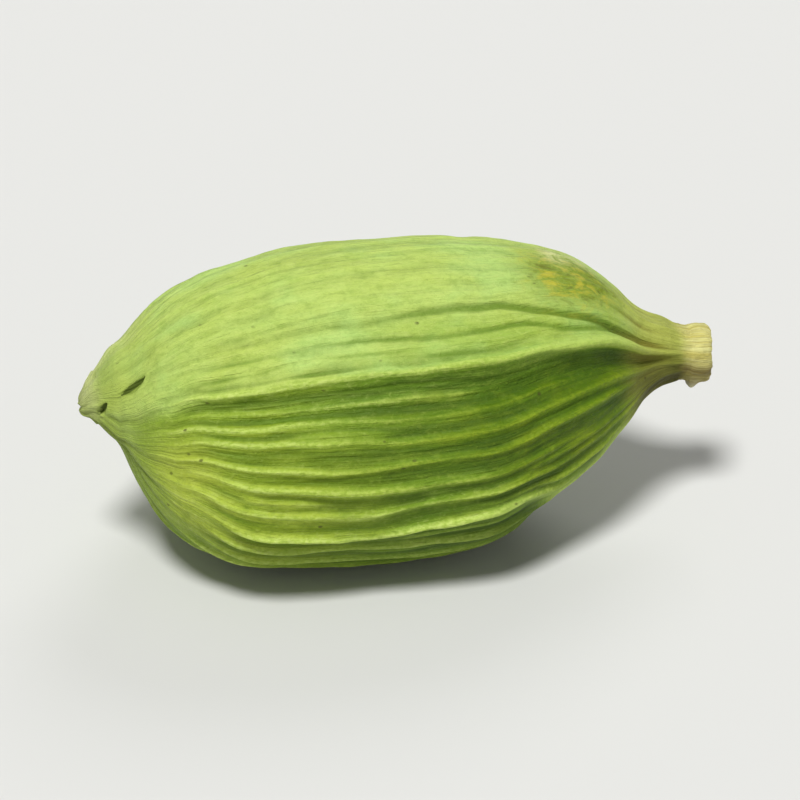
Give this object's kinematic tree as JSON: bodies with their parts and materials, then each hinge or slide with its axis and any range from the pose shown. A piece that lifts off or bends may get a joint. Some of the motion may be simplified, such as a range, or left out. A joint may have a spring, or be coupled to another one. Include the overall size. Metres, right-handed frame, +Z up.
{
  "type": "green cardamom pod",
  "caption": "Whole dried green cardamom pod lying on its side: a ribbed, three-lobed husk with a puckered blossom end and a narrow neck ending in a hollow tan stalk collar.",
  "frame": {"origin": "on the surface the pod rests on, under the middle of its bounding box", "axes": "+X along the pod from the blossom end to the stalk end, -Y to the ribbed front lobe under the sharp ridge, +Z up"},
  "size_m": [0.0194, 0.01, 0.0093],
  "materials": {
    "husk": "matte"
  },
  "bodies": {
    "root": {"pod": "husk"}
  },
  "joints": []
}
